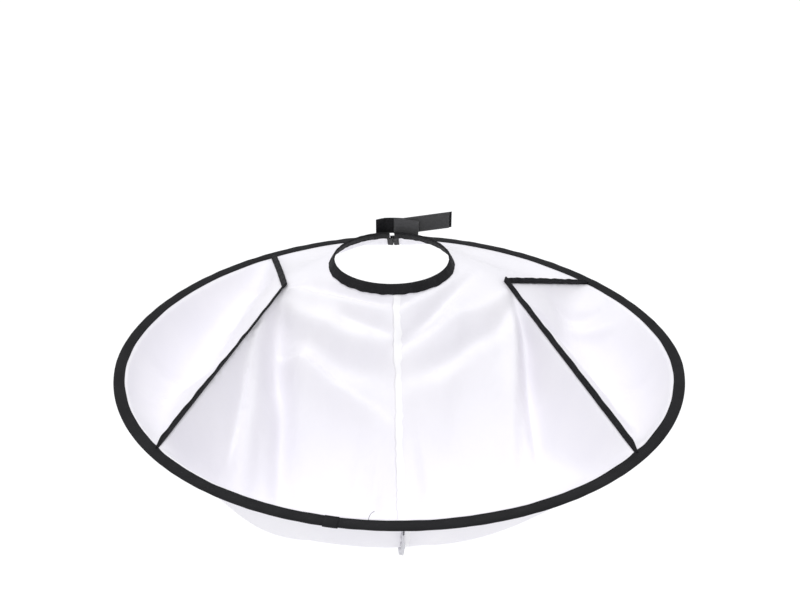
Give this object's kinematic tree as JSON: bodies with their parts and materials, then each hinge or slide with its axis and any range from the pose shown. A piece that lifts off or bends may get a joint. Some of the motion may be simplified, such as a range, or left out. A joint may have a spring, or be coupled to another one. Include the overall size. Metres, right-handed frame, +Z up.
{
  "type": "barber cape",
  "caption": "Foldable white barber cape: an oval sprung hoop in black tape holds a cloth trough open round a black-bound neck opening that closes at the back.",
  "frame": {"origin": "centre of the neck opening, half way up the collar's tape", "axes": "+Z up, +Y to the wearer's back, +X to the wearer's left; the front is towards -Y"},
  "size_m": [0.74, 0.5999, 0.2542],
  "materials": {
    "white_cloth": "smooth plain-woven polyester with a soft satin sheen",
    "black_tape": "matt woven bias tape",
    "hook_and_loop": "fuzzy hook-and-loop tape",
    "spring_steel": "bright spring wire"
  },
  "bodies": {
    "cape": {"rim_wire": "spring_steel", "rim_wire_ferrule": "spring_steel", "rim_binding": "black_tape", "rim_binding_join": "black_tape", "body_panel_right": "white_cloth", "body_panel_left": "white_cloth", "side_gusset_right": "white_cloth", "side_gusset_left": "white_cloth", "seam_binding_right_front": "black_tape", "seam_binding_right_back": "black_tape", "seam_binding_left_front": "black_tape", "seam_binding_left_back": "black_tape", "collar_binding": "black_tape", "slit_binding_right": "black_tape", "slit_binding_left": "black_tape", "front_seam_binding": "white_cloth", "closure_loop_tape": "hook_and_loop"},
    "closure": {"closure_strap": "black_tape", "closure_hook_tape": "hook_and_loop"}
  },
  "joints": [
    {"name": "closure_peel", "type": "hinge", "parent": "cape", "child": "closure", "pos_m": [-0.0229, 0.0695, 0.0105], "axis": [0, 0, 1], "range_deg": [0, 120]}
  ]
}
